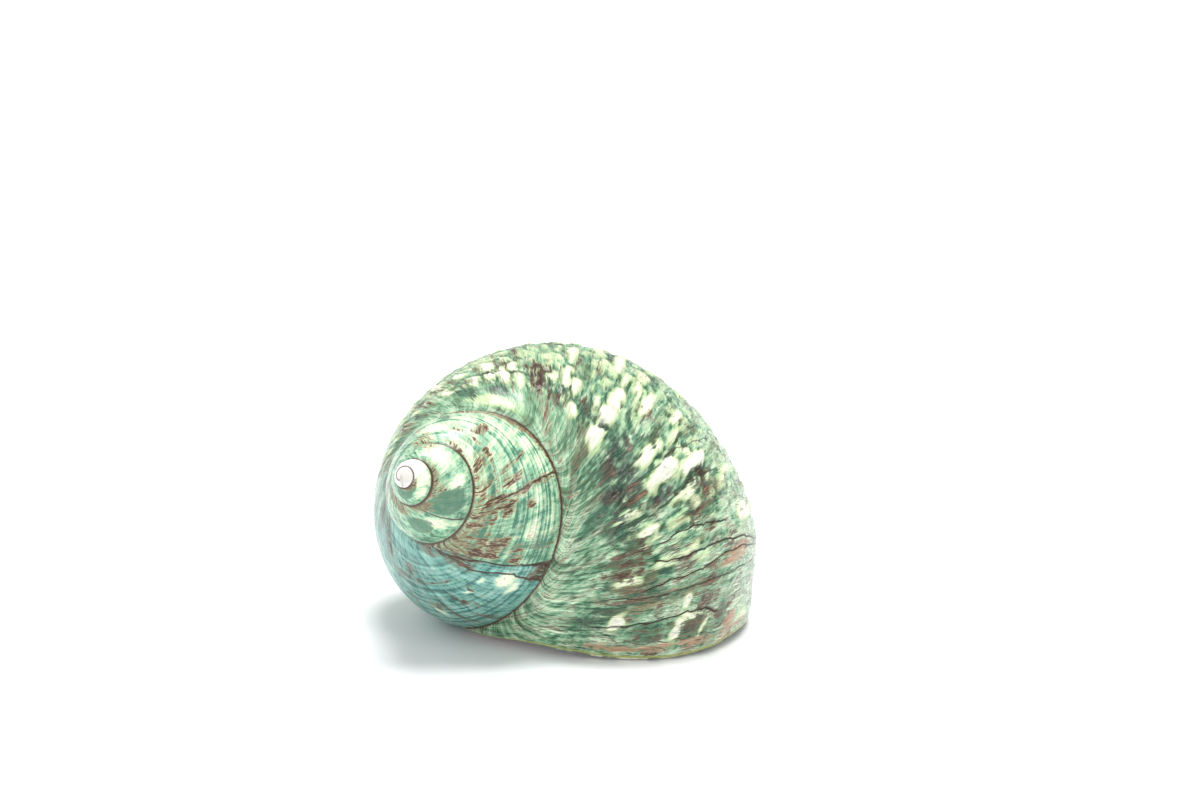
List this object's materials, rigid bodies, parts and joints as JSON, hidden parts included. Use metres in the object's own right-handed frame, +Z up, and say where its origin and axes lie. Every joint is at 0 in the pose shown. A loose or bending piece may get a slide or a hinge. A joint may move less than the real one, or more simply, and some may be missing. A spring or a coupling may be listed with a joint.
{
  "type": "turban shell",
  "caption": "Polished green turban shell lying on its open aperture, a right-handed coil with a short spire, knobbed shoulder and rounded lip.",
  "frame": {"origin": "centre of the bottom of the box round the shell as it rests, aperture down", "axes": "+Z up from the table, +X along the longest extent and away from the apex, the outer lip on the -Y side"},
  "size_m": [0.0782, 0.063, 0.0523],
  "materials": {
    "shell": "polished green shell with cream patches and brown growth lines, pearly inside"
  },
  "bodies": {
    "root": {"turban_shell": "shell"}
  },
  "joints": []
}
